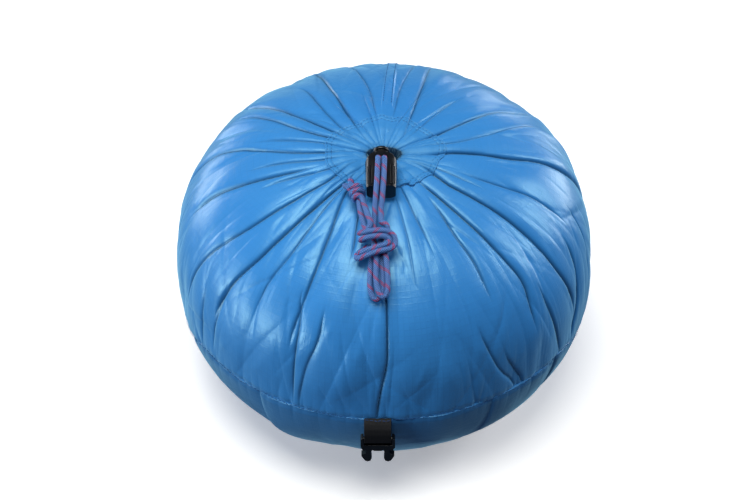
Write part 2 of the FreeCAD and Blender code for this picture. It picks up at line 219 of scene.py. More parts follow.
def seam_z(theta):
    """Height of the base seam round the sack: the stuffed sides hang a little over it."""
    return SEAM_Z - SEAM_SAG * smoothstep((np.abs(np.cos(theta)) - 0.80) / 0.2)


def oval_radius(theta, half_x, half_y):
    return 1 / np.hypot(np.cos(theta) / half_x, np.sin(theta) / half_y)


class Rays:
    """Lines on the smooth form from the mouth to the base seam, one at each plan angle."""

    SAMPLES = 420
    WALL = 12

    def __init__(self, theta, inner_x=HOLE_X, inner_y=HOLE_Y):
        self.theta = theta
        c, s = np.cos(theta), np.sin(theta)
        inner = oval_radius(theta, inner_x, inner_y)
        half = MOUTH_Y * s
        rim = -half + np.sqrt(half ** 2 + R ** 2 - MOUTH_Y ** 2)
        back = np.linspace(1, 0, self.SAMPLES)[:, None]
        rho = rim - (rim - inner) * back ** DOME_POWER
        x = rho * c
        y = MOUTH_Y + rho * s
        z = dome_z(x, y)
        foot = seam_z(np.arctan2(y[-1], x[-1]))
        down = np.linspace(0, 1, self.WALL)[1:, None]
        wall_z = EQUATOR_Z + (foot - EQUATOR_Z) * down
        ratio = bowl_radius(wall_z) / R
        x = np.concatenate([x, x[-1] * ratio])
        y = np.concatenate([y, y[-1] * ratio])
        z = np.concatenate([z, wall_z])
        self.points = np.stack([x, y, z], -1)
        self.arc = arc_of(self.points)
        self.rho = np.hypot(x, y - MOUTH_Y)

    def at(self, way):
        """Points and plan distance at the shares `way` (rows, columns) of each ray's length."""
        length = self.arc[-1]
        points = np.empty(way.shape + (3,))
        rho = np.empty(way.shape)
        for j in range(len(self.theta)):
            share = self.arc[:, j] / length[j]
            for k in range(3):
                points[:, j, k] = np.interp(way[:, j], share, self.points[:, j, k])
            rho[:, j] = np.interp(way[:, j], share, self.rho[:, j])
        return points, rho

    def way_of(self, rho):
        """Share of each ray's length at a plan distance (one per ray)."""
        return np.array([
            np.interp(rho[j], self.rho[:self.SAMPLES, j], self.arc[:self.SAMPLES, j]) / self.arc[-1, j]
            for j in range(len(self.theta))
        ])


# -------- creases

# Each crease: its depth, how wide its gentle side is, which side is steep (+1 anticlockwise), and
# its line, from the end nearer the mouth, as (share of the way from the mouth to the base seam,
# plan angle in degrees about the mouth, 0 = +X and 270 = front). The lines in rows 1-3, 5, 8, 10-20,
# 22, 24-26 and 28-35 are another program's numbers, rounded: it cast points read off the photograph
# onto the smooth form. The other lines, and all depths, widths and sides, were set one by one.
CREASES = [
    (3.4, 11, +1, [(.03, 350), (.12, 359), (.21, 2), (.31, 3), (.42, 7), (.52, 9), (.66, 13), (.80, 15)]),
    (1.6, 7, -1, [(.04, 9), (.13, 8), (.24, 15), (.36, 22), (.46, 26)]),
    (3.6, 14, -1, [(.02, 17), (.10, 21), (.20, 27), (.36, 33), (.50, 35)]),
    (1.6, 6, -1, [(.03, 32), (.11, 40), (.18, 45), (.26, 47)]),
    (2.4, 8, +1, [(.02, 38), (.10, 57), (.21, 66), (.36, 71), (.46, 73)]),
    (1.2, 5, -1, [(.10, 78), (.22, 80), (.36, 79), (.55, 78)]),
    (1.4, 5, +1, [(.12, 100), (.22, 99), (.34, 101), (.55, 103)]),
    (2.6, 9, -1, [(.03, 140), (.12, 128), (.23, 121), (.40, 116), (.50, 114)]),
    (1.8, 8, +1, [(.06, 150), (.16, 140), (.26, 133), (.34, 128)]),
    (4.2, 17, +1, [(.04, 158), (.12, 153), (.22, 149), (.34, 145), (.48, 142)]),
    (2.4, 7, -1, [(.04, 164), (.18, 160), (.30, 154), (.42, 150)]),
    (1.6, 6, -1, [(.06, 172), (.13, 169), (.20, 168), (.28, 167)]),
    (2.6, 9, -1, [(.02, 178), (.12, 181), (.22, 177), (.33, 171), (.41, 168), (.48, 166), (.62, 165)]),
    (1.9, 7, -1, [(.05, 187), (.14, 189), (.22, 184), (.30, 182)]),
    (2.9, 9, -1, [(.18, 194), (.26, 191), (.36, 188), (.49, 184), (.56, 183)]),
    (2.0, 7, -1, [(.04, 194), (.14, 202), (.20, 197), (.29, 194)]),
    (2.8, 11, -1, [(.03, 198), (.15, 212), (.31, 210), (.47, 207), (.59, 202), (.72, 198), (.79, 197)]),
    (3.8, 12, -1, [(.04, 214), (.10, 222), (.25, 222), (.39, 221), (.53, 219), (.62, 216), (.76, 213)]),
    (1.9, 7, +1, [(.08, 222), (.14, 226), (.23, 227), (.37, 229), (.47, 229), (.56, 227), (.64, 227)]),
    (2.3, 8, -1, [(.08, 228), (.17, 232), (.27, 238), (.33, 240), (.45, 242), (.57, 242), (.70, 241)]),
    (2.6, 13, +1, [(.06, 246), (.14, 248), (.26, 252), (.36, 255)]),
    (1.0, 5, +1, [(.16, 281), (.20, 282), (.32, 283), (.44, 282)]),
    (1.7, 8, -1, [(.10, 290), (.16, 291), (.26, 292), (.34, 293)]),
    (2.2, 9, +1, [(.22, 309), (.30, 308), (.39, 307), (.46, 308), (.56, 307)]),
    (3.0, 10, +1, [(.12, 313), (.20, 315), (.33, 317), (.49, 319), (.61, 321), (.74, 319)]),
    (3.4, 12, +1, [(.05, 340), (.13, 333), (.18, 328), (.29, 331), (.39, 333), (.50, 334), (.66, 335),
                   (.82, 339)]),
    (1.5, 6, -1, [(.06, 341), (.12, 339), (.18, 338), (.24, 339)]),
    (2.2, 9, -1, [(.22, 343), (.32, 346), (.41, 349), (.51, 350)]),
    (3.6, 15, -1, [(.46, 270), (.56, 271), (.66, 271), (.76, 271), (.88, 269), (.98, 268)]),
    (2.4, 9, +1, [(.56, 240), (.66, 243), (.78, 243), (.93, 243)]),
    (2.0, 10, -1, [(.60, 250), (.70, 250), (.80, 247), (.95, 245)]),
    (2.6, 10, +1, [(.68, 214), (.78, 214), (.90, 213)]),
    (1.8, 8, -1, [(.74, 206), (.84, 207), (.94, 207)]),
    (2.4, 9, -1, [(.70, 300), (.78, 302), (.88, 305), (.98, 311)]),
    (2.0, 8, +1, [(.82, 307), (.90, 310), (.99, 314)]),
    (2.8, 10, +1, [(.60, 345), (.72, 344), (.84, 342), (.95, 338)]),
    (2.4, 9, -1, [(.56, 356), (.68, 355), (.80, 352), (.94, 349)]),
    (2.2, 9, +1, [(.66, 325), (.76, 326), (.88, 328), (.97, 330)]),
    (2.0, 9, -1, [(.52, 60), (.66, 62), (.80, 62), (.95, 61)]),
    (2.4, 10, +1, [(.50, 90), (.64, 92), (.80, 93), (.96, 94)]),
    (2.0, 9, +1, [(.48, 122), (.62, 124), (.78, 124), (.94, 123)]),
    (1.9, 8, -1, [(.56, 35), (.68, 37), (.82, 38), (.96, 38)]),
    (2.2, 9, -1, [(.56, 152), (.70, 151), (.84, 152), (.96, 153)]),
    (1.8, 8, +1, [(.60, 176), (.72, 177), (.86, 178), (.97, 178)]),
]
# Folds down the base: plan angle about the sack's axis in degrees, depth and width.
BASE_FOLDS = [
    (236, 2.2, 8), (204, 2.4, 6), (299, 2.0, 7), (322, 2.2, 7), (345, 1.6, 9), (182, 1.6, 8),
    (20, 1.8, 8), (48, 1.6, 7), (75, 1.8, 8), (104, 1.7, 8), (131, 1.8, 8), (160, 1.6, 8),
]
MINOR_PLEATS = 26
HEM_STEPS = 22
PUCKER_PITCH = 10.0
BACK_SEAM_ANGLE = math.radians(87)
BACK_SEAM_WIDTH = 8.5


def crease_line(line, way):
    """Plan angle of a crease along the way, with its corners eased."""
    ways = [w for w, _ in line]
    angles = np.unwrap(np.radians([a for _, a in line]))
    ease = 0.03
    return sum(np.interp(way + shift, ways, angles) for shift in (-ease, 0, ease)) / 3


def fade(way, start, end, run):
    """1 between start and end, easing to 0 over `run` inside each."""
    return smoothstep((way - start) / run) * smoothstep((end - way) / run)


def cusp(d, gentle, steep, side):
    """Section of a fold: deepest at d = 0, steep on one side and rounded on the other."""
    width = np.where(d * side > 0, steep, gentle)
    return np.exp(-np.abs(d) / width)


def crease_depth(theta, way, rho):
    """How far the creases pull the fabric in, in millimetres, and how closed each slit is, 0 to 1."""
    total = np.zeros(way.shape)
    closed = np.zeros(way.shape)
    for depth, gentle, side, line in CREASES:
        centre = crease_line(line, way)
        d = wrap(theta - centre) * rho
        strength = depth * fade(way, line[0][0] - .04, line[-1][0] + .08, .12)
        room = np.clip(rho / 60, 0.12, 1)
        section = 0.55 * cusp(d, 1.1 * gentle * room, 0.20 * gentle * room, side)
        slit = np.exp(-np.abs(d) / (0.55 * room + 0.2))
        section += 0.50 * slit
        total += strength * np.clip(rho / 45, 0.25, 1) * section
        # closed, how far each slit is shut, is the mask of painted shade in the slits
        closed = np.maximum(closed, np.clip(strength / 3.0, 0, 1) * slit)
    return total, closed


def minor_pleats(theta, way, rho, seed=3):
    """Small gathers that leave the mouth and die out past the collar."""
    rng = np.random.default_rng(seed)
    total = np.zeros(way.shape)
    for k in range(MINOR_PLEATS):
        centre = (k + rng.uniform(-0.45, 0.45)) * TAU / MINOR_PLEATS
        reach = rng.uniform(0.09, 0.34)
        depth = rng.uniform(0.6, 2.2)
        bend = rng.uniform(-0.5, 0.5)
        side = rng.choice([-1, 1])
        d = wrap(theta - centre - bend * way) * rho
        room = np.clip(rho / 40, 0.15, 1.4)
        total += depth * fade(way, -0.2, reach, .09) * cusp(d, 3.2 * room, 0.8 * room, side)
    return total


def crinkles(theta, way, rho, seed, count, depth, width, length):
    """Short sharp creases, mostly in line with the pull from the mouth, scattered over the cloth."""
    rng = np.random.default_rng(seed)
    total = np.zeros(way.shape)
    for _ in range(count):
        centre = rng.uniform(0, TAU)
        at = 1 - rng.uniform(0, 0.85) ** 1.5
        lean = rng.normal(0, 0.35)
        long = length * rng.uniform(0.5, 1.6)
        wide = width * rng.uniform(0.6, 1.6)
        deep = depth * rng.uniform(0.3, 1.0)
        side = rng.choice([-1, 1])
        x = wrap(theta - centre) * rho
        y = (way - at) * FABRIC_LENGTH
        along = x * math.sin(lean) + y * math.cos(lean)
        across = x * math.cos(lean) - y * math.sin(lean)
        total += deep * np.exp(-(along / long) ** 2) * cusp(across, wide, 0.35 * wide, side)
    return total


def soft_bumps(theta, way, seed, count, size, amplitude):
    """Broad shallow swells of the load under the fabric; size is in shares of the way and radians."""
    rng = np.random.default_rng(seed)
    total = np.zeros(way.shape)
    for _ in range(count):
        centre = rng.uniform(0, TAU)
        at = rng.uniform(0.2, 0.97)
        long = size * rng.uniform(0.7, 1.9)
        wide = size * rng.uniform(0.6, 1.2)
        height = amplitude * rng.uniform(-1, 1)
        lean = rng.uniform(-0.6, 0.6)
        across = wrap(theta - centre - lean * (way - at)) / wide
        total += height * np.exp(-across ** 2 - ((way - at) / long) ** 2)
    return total


def puckers(theta, seed):
    """Uneven gathers along the base seam: about -0.5 in the deepest, near 1 between them."""
    rng = np.random.default_rng(seed)
    count = round(TAU * R / PUCKER_PITCH)
    knots = np.linspace(0, TAU, count + 1)[:-1] + rng.uniform(-0.22, 0.22, count) * TAU / count
    height = rng.uniform(0.35, 1.0, count)
    total = np.zeros(theta.shape)
    width = 0.30 * TAU / count
    for centre, tall in zip(knots, height):
        total += tall * np.exp(-np.abs(wrap(theta - centre)) / width)
    return 1 - 1.4 * total


def shell_height(theta, way, rho, below):
    """Displacement of the shell along its normal, and its shade in closed folds, 0 to 1."""
    creases, closed = crease_depth(theta, way, rho)
    height = -creases - minor_pleats(theta, way, rho)
    height += soft_bumps(theta, way, 11, 90, 0.075, 1.5) * np.clip(rho / 90, 0, 1)
    height += soft_bumps(theta, way, 12, 320, 0.026, 0.35) * np.clip(rho / 90, 0, 1)
    height -= crinkles(theta, way, rho, 13, 140, 1.0, 4.5, 26)
    height -= crinkles(theta, way, rho, 14, 110, 0.95, 9.0, 55)
    gather = np.exp(-below / 9.0)
    height += 0.9 * puckers(theta, 5) * gather
    height -= 0.7 * np.exp(-(below / 3.2) ** 2)
    seam = np.abs(wrap(theta - BACK_SEAM_ANGLE)) * rho
    plateau = smoothstep((BACK_SEAM_WIDTH / 2 + 0.5 - seam) / 1.0) * smoothstep((way - 0.13) / 0.02)
    height += 0.55 * plateau
    return height, closed


def surface(rays, way):
    """Displaced points on a grid of ways (rows, columns), and how closed each slit is there."""
    smooth, rho = rays.at(way)
    below = (1 - way) * rays.arc[-1]
    theta = np.broadcast_to(rays.theta, way.shape)
    height, closed = shell_height(theta, way, rho, below)
    points = smooth + grid_normals(smooth) * height[..., None]
    return points, closed


# -------- fabric pieces

def throat_rings(lip, steps):
    """Rings down into the mouth from its lip, each a (share of the lip's size, drop)."""
    centre = np.array([0.0, MOUTH_Y, 0.0])
    return [centre + (lip - centre) * [size, size, 1] - [0, 0, drop] for size, drop in steps]


def make_shell():
    """The gathered top: from a throat with painted shade, over the dome, to the base seam."""
    rays = Rays(even_angles())
    near_seam = 1 - (1 - np.linspace(0, 1, DOME_ROWS)) ** 1.15
    way = np.broadcast_to(near_seam[:, None], (DOME_ROWS, SECTORS)).copy()
    points, closed = surface(rays, way)
    throat = throat_rings(points[0], ((0.88, 2.0), (0.80, 5.0), (0.78, 9.0), (0.80, 14.0)))
    edge = points[-1]
    out = unit(edge * [1, 1, 0])
    tuck = [edge - out * inward - [0, 0, drop] for inward, drop in ((0.7, 0.8), (2.2, 1.0), (4.2, 0.4))]
    rows = np.concatenate([throat[::-1], points, tuck])
    shell = make_object("body_shell_cloth", rows, grid_faces(len(rows), SECTORS))
    face = (way * rays.arc[-1]).mean(1)
    under = rays.arc[-1].mean() + np.array([1, 2, 4])
    add_uv(shell, np.concatenate([[-14, -9, -5, -2], face, under]))
    # Painted shade: the throat's rows and the rows tucked under are fully dark, and the slits are as dark
    # as they are shut
    add_shade(shell, len(throat), closed, len(tuck))
    return shell


def collar_reach(theta):
    """Plan distance of the collar's sewn edge from the mouth."""
    rng = np.random.default_rng(21)
    uneven = sum(rng.uniform(0.3, 0.8) * np.sin(k * theta + rng.uniform(0, TAU)) for k in (3, 5, 8, 13))
    steps = rng.uniform(-1.3, 1.3, HEM_STEPS + 1)
    steps[-1] = steps[0]
    place = theta / TAU * HEM_STEPS
    left = np.floor(place).astype(int)
    turn = smoothstep((place - left - 0.3) / 0.4)
    uneven += steps[left] * (1 - turn) + steps[left + 1] * turn
    notch = np.exp(-(wrap(theta - math.radians(305)) / 0.05) ** 2)
    return oval_radius(theta, RING_X, RING_Y) + uneven + 1.8 * notch


def make_collar():
    """The drawcord channel, a band on top of the shell with a turned-in outer edge.

    Its rows of points, their shares of the way across and their normals go on to the stitches.
    """
    theta = even_angles()
    rays = Rays(theta, HOLE_X * 0.98, HOLE_Y * 0.98)
    edge = rays.way_of(collar_reach(theta))
    share = 1 - (1 - np.linspace(0, 1, COLLAR_ROWS)) ** 1.2
    way = share[:, None] * edge[None, :]
    points, closed = surface(rays, way)
    normal = grid_normals(points)
    row = share[:, None]
    lift = np.full(way.shape, 0.9)
    lift -= 0.18 * sum(np.exp(-((row - at) / 0.02) ** 2) for at in COLLAR_STITCHES)
    bulge = smoothstep(row / 0.25) * smoothstep((0.84 - row) / 0.3)
    lift += 0.9 * bulge
    loose = np.exp(-(wrap(theta - math.radians(297)) / 0.22) ** 2)
    lift += 1.9 * loose[None, :] * smoothstep((row - 0.72) / 0.25)
    top = points + normal * lift[..., None]
    throat = throat_rings(top[0], ((0.93, 1.2), (0.88, 3.6), (0.86, 7.0)))
    hem = [points[-1] + normal[-1] * (lift[-1][:, None] * k) + outward(theta) * out
           for k, out in ((0.75, 0.35), (0.35, 0.4), (-0.1, 0.1))]
    under = [points[-3] + normal[-3] * 0.1]
    rows = np.concatenate([throat[::-1], top, hem, under])
    collar = make_object("drawcord_channel_cloth", rows, grid_faces(len(rows), SECTORS))
    face = (way * rays.arc[-1]).mean(1)
    turned = (edge * rays.arc[-1]).mean() + np.array([.5, 1, 1.5, 2])
    add_uv(collar, np.concatenate([[-7, -3.6, -1.2], face, turned]))
    # Painted shade: dark at the collar's inner edge by the mouth, a quarter dark on the rolled hem, fully
    # dark on the row tucked under
    closed = np.maximum(closed, np.exp(-(row / 0.05)) * np.ones((1, SECTORS)))
    rolled = np.full((len(hem), SECTORS), 0.25)
    add_shade(collar, len(throat), np.concatenate([closed, rolled]), 1)
    return collar, top, share, normal


def make_base():
    """The ripstop bowl under the seam, flat where it stands."""
    theta = even_angles()
    ring = outward(theta)
    bowl_rows = BASE_ROWS * 3 // 4
    share = np.linspace(0, 1, bowl_rows)[:, None] ** 1.25
    z = seam_z(theta)[None, :] * (1 - share)
    radius = bowl_radius(z)
    floor_radius = np.linspace(FLOOR_RADIUS, 3, BASE_ROWS - bowl_rows + 1)[1:, None] * np.ones((1, SECTORS))
    radius = np.concatenate([radius, floor_radius])
    z = np.concatenate([z, np.zeros_like(floor_radius)])
    smooth = radius[..., None] * ring[None]
    smooth[..., 2] = z
    normal = grid_normals(smooth)
    down = arc_of(smooth)
    grid_theta = np.broadcast_to(theta, down.shape)
    way = down / down[-1]
    height = 0.8 * puckers(grid_theta, 5) * np.exp(-down / 10.0)
    height -= 0.8 * np.exp(-(down / 2.6) ** 2)
    off_floor = smoothstep((z - 1.0) / 18.0)
    height += off_floor * soft_bumps(grid_theta, 0.25 + 0.9 * way, 31, 70, 0.11, 1.4)
    height += off_floor * soft_bumps(grid_theta, 0.25 + 0.9 * way, 32, 200, 0.03, 0.45)
    for angle, depth, width in BASE_FOLDS:
        d = wrap(theta - math.radians(angle)) * R
        height -= off_floor * depth * cusp(d, width, 0.3 * width, 1)[None, :] * fade(down, -20, 70, 30)
    points = smooth + normal * height[..., None]
    points[..., 2] = np.maximum(points[..., 2], 0)
    edge = points[0]
    tuck = [edge - ring * inward + [0, 0, rise] for inward, rise in ((4.0, 0.2), (2.0, 0.5), (0.6, 0.3))]
    rows = np.concatenate([tuck, points])
    faces = grid_faces(len(rows), SECTORS)
    faces.append([(len(rows) - 1) * SECTORS + j for j in range(SECTORS)][::-1])
    base = make_object("base_panel_cloth", rows, faces)
    add_uv(base, np.concatenate([[-4, -2, -0.6], down.mean(1)]))
    return base


def capsule_ring(points, normals, tangents, length, radius):
    """Small capsules, one per point, as one mesh's vertices and faces."""
    sides = 6
    rings = ((-0.5, 0.35), (-0.38, 0.85), (0.0, 1.0), (0.38, 0.85), (0.5, 0.35))
    side = unit(np.cross(tangents, normals))
    vertices = []
    for place, thick in rings:
        sag = -0.35 * radius * (2 * place) ** 2
        for k in range(sides):
            a = TAU * k / sides
            offset = side * math.cos(a) * radius * thick + normals * (math.sin(a) * radius * thick + sag)
            vertices.append(points + tangents * place * length + offset)
    stack = np.stack(vertices, 1)
    per = sides * len(rings)
    faces = []
    for n in range(len(points)):
        base = n * per
        for r in range(len(rings) - 1):
            for k in range(sides):
                a, b = base + r * sides + k, base + r * sides + (k + 1) % sides
                faces.append([a, b, b + sides, a + sides])
        faces.append([base + k for k in range(sides)][::-1])
        faces.append([base + per - sides + k for k in range(sides)])
    return stack.reshape(-1, 3), faces


def stitch_line(name, line, normal, pitch, closed=True, length=0.72, radius=0.22, lift=0.05):
    """A row of stitches along a dense line of points on the fabric."""
    if closed:
        line = np.concatenate([line, line[:1]])
        normal = np.concatenate([normal, normal[:1]])
    arc = arc_of(line)
    count = int(arc[-1] / pitch)
    at = (np.arange(count) + 0.5) * arc[-1] / count
    tangent = unit(along(line, arc, at + 0.4 * pitch) - along(line, arc, at - 0.4 * pitch))
    n = unit(along(normal, arc, at))
    middles = along(line, arc, at) + n * lift
    vertices, faces = capsule_ring(middles, n, tangent, pitch * length, radius)
    return make_object(name, vertices, faces)


def make_stitches(top, share, normal):
    """Stitch rows on the collar, above the base seam and down the back seam."""
    rows = []
    for label, at in zip(("outer", "inner"), COLLAR_STITCHES):
        k = int(np.argmin(np.abs(share - at)))
        name = f"collar_stitches_{label}"
        rows.append(stitch_line(name, top[k], normal[k], 2.8, length=0.6, radius=0.17, lift=0.0))
    rays = Rays(even_angles())
    offsets = np.array([-1.2, 0.0, 1.2])[:, None]
    below = 2.6
    way = 1 - (below + offsets) / rays.arc[-1]
    points, _ = surface(rays, way)
    n = grid_normals(points)
    rows.append(stitch_line("base_seam_stitches", points[1], n[1], 3.2))
    for side in (-1, 1):
        rows.append(back_seam_row(side))
    return rows


def back_seam_row(side):
    """One row of stitches down the felled back seam."""
    way = np.linspace(0.16, 0.985, 260)
    _, rho = Rays(np.array([BACK_SEAM_ANGLE])).at(way[:, None])
    inset = 1.2
    offset = side * (BACK_SEAM_WIDTH / 2 - inset)
    angles = BACK_SEAM_ANGLE + offset / rho[:, 0]
    spots = [point_and_normal(angle, share) for angle, share in zip(angles, way)]
    line, normal = np.array(spots).transpose(1, 0, 2)
    label = "left" if side > 0 else "right"
    return stitch_line(f"back_seam_stitches_{label}", line, normal, 3.2, closed=False)


def point_and_normal(theta, way):
    """One displaced point on the shell and the normal there."""
    step = 0.004
    rays = Rays(np.array([theta - step, theta, theta + step]))
    grid = np.array([way - step, way, way + step])[:, None] * np.ones((1, 3))
    smooth, rho = rays.at(grid)
    down = smooth[2, 1] - smooth[0, 1]
    across = smooth[1, 2] - smooth[1, 0]
    n = np.cross(down, across)
    n /= np.linalg.norm(n)
    below = (1 - grid) * rays.arc[-1]
    angle = np.broadcast_to(rays.theta, grid.shape)
    height = shell_height(angle, grid, rho, below)[0][1, 1]
    return smooth[1, 1] + n * height, n


def make_contents():
    """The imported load: a plain stuffed form well inside the fabric, seen only down the throat."""
    sides, rows = 96, 40
    theta = np.linspace(0, TAU, sides, endpoint=False)
    inset = 13.0
    tops = np.linspace(0, 1, rows)
    radius = (R - inset) * np.sin(tops * math.pi / 2)
    x = radius[:, None] * np.cos(theta)
    y = radius[:, None] * np.sin(theta)
    z = dome_z(x * R / (R - inset) * 0.985, y * R / (R - inset) * 0.985) - inset
    top = np.stack([x, y, z], -1)
    lower_z = np.linspace(EQUATOR_Z - inset, inset, 30)[:, None]
    lower_r = (bowl_radius(lower_z) - inset) * np.ones((1, sides))
    lower = np.stack([lower_r * np.cos(theta), lower_r * np.sin(theta), lower_z * np.ones((1, sides))], -1)
    grid = np.concatenate([top[1:], lower])
    return make_object("packed_load", grid, tube_faces(len(grid), sides))


# -------- cords

def at_knot(points):
    """Points at the big knot from local (right, down the slope, out of the fabric)."""
    x, y, z = KNOT_CENTRE
    c, s = math.cos(KNOT_TILT), math.sin(KNOT_TILT)
    return [(x + right, y - down * c - out * s, z - down * s + out * c) for right, down, out in points]


def wound_turns(centre, along, radius, pitch, turns, start):
    """Points of a helix round a line through `centre`, eight to a turn."""
    axis = Vector(along).normalized()
    across = axis.cross(Vector((0, 0, 1))).normalized()
    up = across.cross(axis).normalized()
    points = []
    count = int(8 * turns)
    for k in range(count + 1):
        a = start + TAU * k / 8
        move = (k / count - 0.5) * pitch * turns
        p = Vector(centre) + axis * move + (across * math.cos(a) + up * math.sin(a)) * radius
        points.append(tuple(p))
    return points


STRAND_LEFT = [
    (-4.15, -44.2, 239.6), (-4.15, -44.55, 243.6), (-4.25, -47.8, 246.3), (-4.3, -53, 245.4),
    (-4.6, -60, 243.2), (-5, -68, 240.5), (-5.7, -76, 235.2), (-6.4, -83.6, 228.2),
    (-6.7, -92, 220.6),
]
STRAND_RIGHT = [
    (0.15, -44.2, 239.6), (0.15, -44.55, 243.7), (0.2, -48.4, 246.3), (0.1, -54, 245.2),
    (-0.1, -61, 242.9), (-0.5, -69, 240.1), (-1.3, -77, 234.5), (-2.1, -84, 228),
    (-2.2, -88.4, 225.2),
]
BIGHT_UNDER = [
    (-7.8, -109.6, 209.2), (-9.3, -117, 204.2), (-9.8, -124.5, 199.2), (-9.2, -132, 193.2),
    (-5.4, -135.4, 190.4), (-1.4, -133.2, 192.2), (-0.6, -125.4, 198.6), (-1.0, -117.2, 204.0),
    (-2.4, -109.6, 209.0),
]
BIGHT_OVER = [
    (-5, -110.4, 213.2), (-5.4, -118.2, 208.4), (-5.6, -126, 203.2), (-4.2, -133.8, 197.2),
    (-0.4, -137.2, 194.2), (2.6, -134.2, 196.8), (2.6, -126.2, 203.2), (1.8, -118.2, 208.4),
    (0.8, -110.4, 213.2),
]
RETURN_LEFT = [(-12.4, -93.2, 217.0), (-14.4, -88.6, 220.5), (-16.7, -80.6, 224.2), (-17.8, -73.2, 228.8)]
RETURN_RIGHT = [(-8.9, -91.8, 224.2), (-11.1, -87.6, 226.2), (-13.6, -80.0, 229.2), (-15.7, -72.9, 231.8)]
TAIL_LEFT = [(-21.8, -64.4, 229.4), (-24.9, -60.6, 228.7), (-28.7, -56.6, 228.2)]
TAIL_RIGHT = [(-24.0, -62.2, 232.8), (-22.8, -58.0, 232.4), (-24.2, -53.6, 231.6)]
END_KNOT = (-18.8, -67.8, 230.0)
THROUGH_END_KNOT = [(-19.0, -68.0, 229.8)]    # where cord_left runs inside the turns of cord_right

# These four are in the big knot's own directions.
KNOT_DOWN_LEFT = [(-1.9, -5, -1.4), (-2.1, 1, -1.4), (-2.4, 5, -2.1)]
KNOT_DOWN_RIGHT = [
    (3.0, -15.4, 2.2), (6.4, -14.2, 2.6), (7.8, -10.6, 1.0), (5.4, -6.6, -1.2), (2.2, -3.4, -1.8),
    (1.6, 1, -1.4), (0.7, 4.0, -0.3),
]
KNOT_UP_LEFT = [
    (2.2, 4.6, -5.0), (-3, 3.0, -5.9), (-7.8, 4.8, -3.8), (-11.6, 6.8, -0.8), (-10.6, 7.4, 2.2),
    (-5.6, 6.2, 4.2), (0.4, 4.4, 4.8), (5.4, 2.8, 4.6), (8.6, 0.8, 3.6), (8.6, -2.2, 3.6),
    (5.6, -3.8, 5), (0.4, -3.6, 5.6), (-5.4, -3.0, 5), (-10.2, -2.6, 2.6), (-12.0, -3.4, -1.4),
    (-8.8, -5.2, -4.2), (-6.6, -8.0, -3.6),
]
KNOT_UP_RIGHT = [
    (6.2, 4, -3.2), (3, 0, -5.4), (-4, -0.6, -5.4), (-11.2, 2.2, -5.8), (-14.8, 8.2, -3.2),
    (-13.2, 11.8, 0.8), (-8.4, 10.9, 3.2), (-2, 8.6, 4.6), (4.6, 6.9, 4.8), (9.8, 5.2, 3.4),
    (12.8, 1.4, 2.2), (12.4, -4.2, 2.6), (8.6, -7.6, 4.2), (3, -8.0, 5.4), (-3.4, -7.4, 5.8),
    (-9.2, -6.8, 4.2), (-13.0, -7.6, 1.0), (-10.0, -9.8, -0.6), (-5.3, -11.0, 1.6),
]


def strand(name, *stretches):
    """One cord as a smooth NURBS line through listed control points, 4 mm thick."""
    points = [p for stretch in stretches for p in stretch]
    curve = bpy.data.curves.new(name, "CURVE")
    curve.dimensions = "3D"
    spline = curve.splines.new("NURBS")
    spline.points.add(len(points) - 1)
    for point, place in zip(spline.points, points):
        point.co = [c * MM for c in place] + [1]
    spline.order_u = 3
    spline.use_endpoint_u = True
    spline.resolution_u = 6
    curve.bevel_depth = CORD / 2 * MM
    curve.bevel_resolution = 6
    curve.use_fill_caps = True
    return link(bpy.data.objects.new(name, curve))


def centre_line(obj):
    """Points along a curve's own line, in millimetres, read from the curve with no bevel."""
    curve = obj.data.copy()
    curve.bevel_depth = 0
    bare = link(bpy.data.objects.new("bare", curve))
    bpy.context.view_layer.update()
    mesh = bpy.data.meshes.new_from_object(bare.evaluated_get(bpy.context.evaluated_depsgraph_get()))
    line = np.array([v.co[:] for v in mesh.vertices]) / MM
    bpy.data.objects.remove(bare)
    bpy.data.curves.remove(curve)
    bpy.data.meshes.remove(mesh)
    return line


def length_of(line):
    return float(np.linalg.norm(np.diff(line, axis=0), axis=1).sum())


def even_frames(line, step):
    """Evenly spaced points along a line with a frame that doesn't twist."""
    arc = arc_of(line)
    count = max(int(arc[-1] / step), 8)
    at = np.linspace(0, arc[-1], count + 1)
    points = along(line, arc, at)
    smooth = points.copy()
    smooth[1:-1] = (points[:-2] + 2 * points[1:-1] + points[2:]) / 4
    tangent = unit(np.gradient(smooth, axis=0))
    first = np.cross(tangent[0], [0.3, 0.5, 0.8])
    side = [first / np.linalg.norm(first)]
    for t in tangent[1:]:
        s = side[-1] - t * np.dot(side[-1], t)
        side.append(s / np.linalg.norm(s))
    side = np.array(side)
    return smooth, side, np.cross(tangent, side), at


def braid(name, line):
    """A sheathed cord as a mesh: plaited ribs in relief, with UVs that carry the fleck pattern."""
    points, side, up, at = even_frames(line, 0.28)
    sides = 32
    a = np.linspace(0, TAU, sides, endpoint=False)
    turn = TAU * at[:, None] / LAY
    one = np.cos(CARRIERS * (a + turn))
    two = np.cos(CARRIERS * (a - turn))
    relief = 0.20 * np.maximum(one, two) + 0.05 * one * two
    radius = CORD / 2 - 0.15 + relief
    ends = np.minimum(at, at[-1] - at)[:, None]
    radius = radius * (0.82 + 0.18 * smoothstep(ends / 0.8))
    ring = (points[:, None, :] + side[:, None, :] * (np.cos(a) * radius)[..., None]
            + up[:, None, :] * (np.sin(a) * radius)[..., None])
    obj = make_object(name, ring, [face[::-1] for face in tube_faces(len(ring), sides)])
    mesh = obj.data
    layer = mesh.uv_layers.new(name="UVMap")
    vertex = corner_vertices(mesh)
    u = (vertex % sides) / sides
    quads = (len(ring) - 1) * sides * 4
    corner = u[:quads].reshape(-1, 4)
    wraps = (corner.max(1, keepdims=True) - corner) > 0.5
    u[:quads] = np.where(wraps, corner + 1, corner).ravel()
    v = at[vertex // sides] * MM
    layer.data.foreach_set("uv", np.stack([u, v], -1).astype(np.float32).ravel())
    return obj


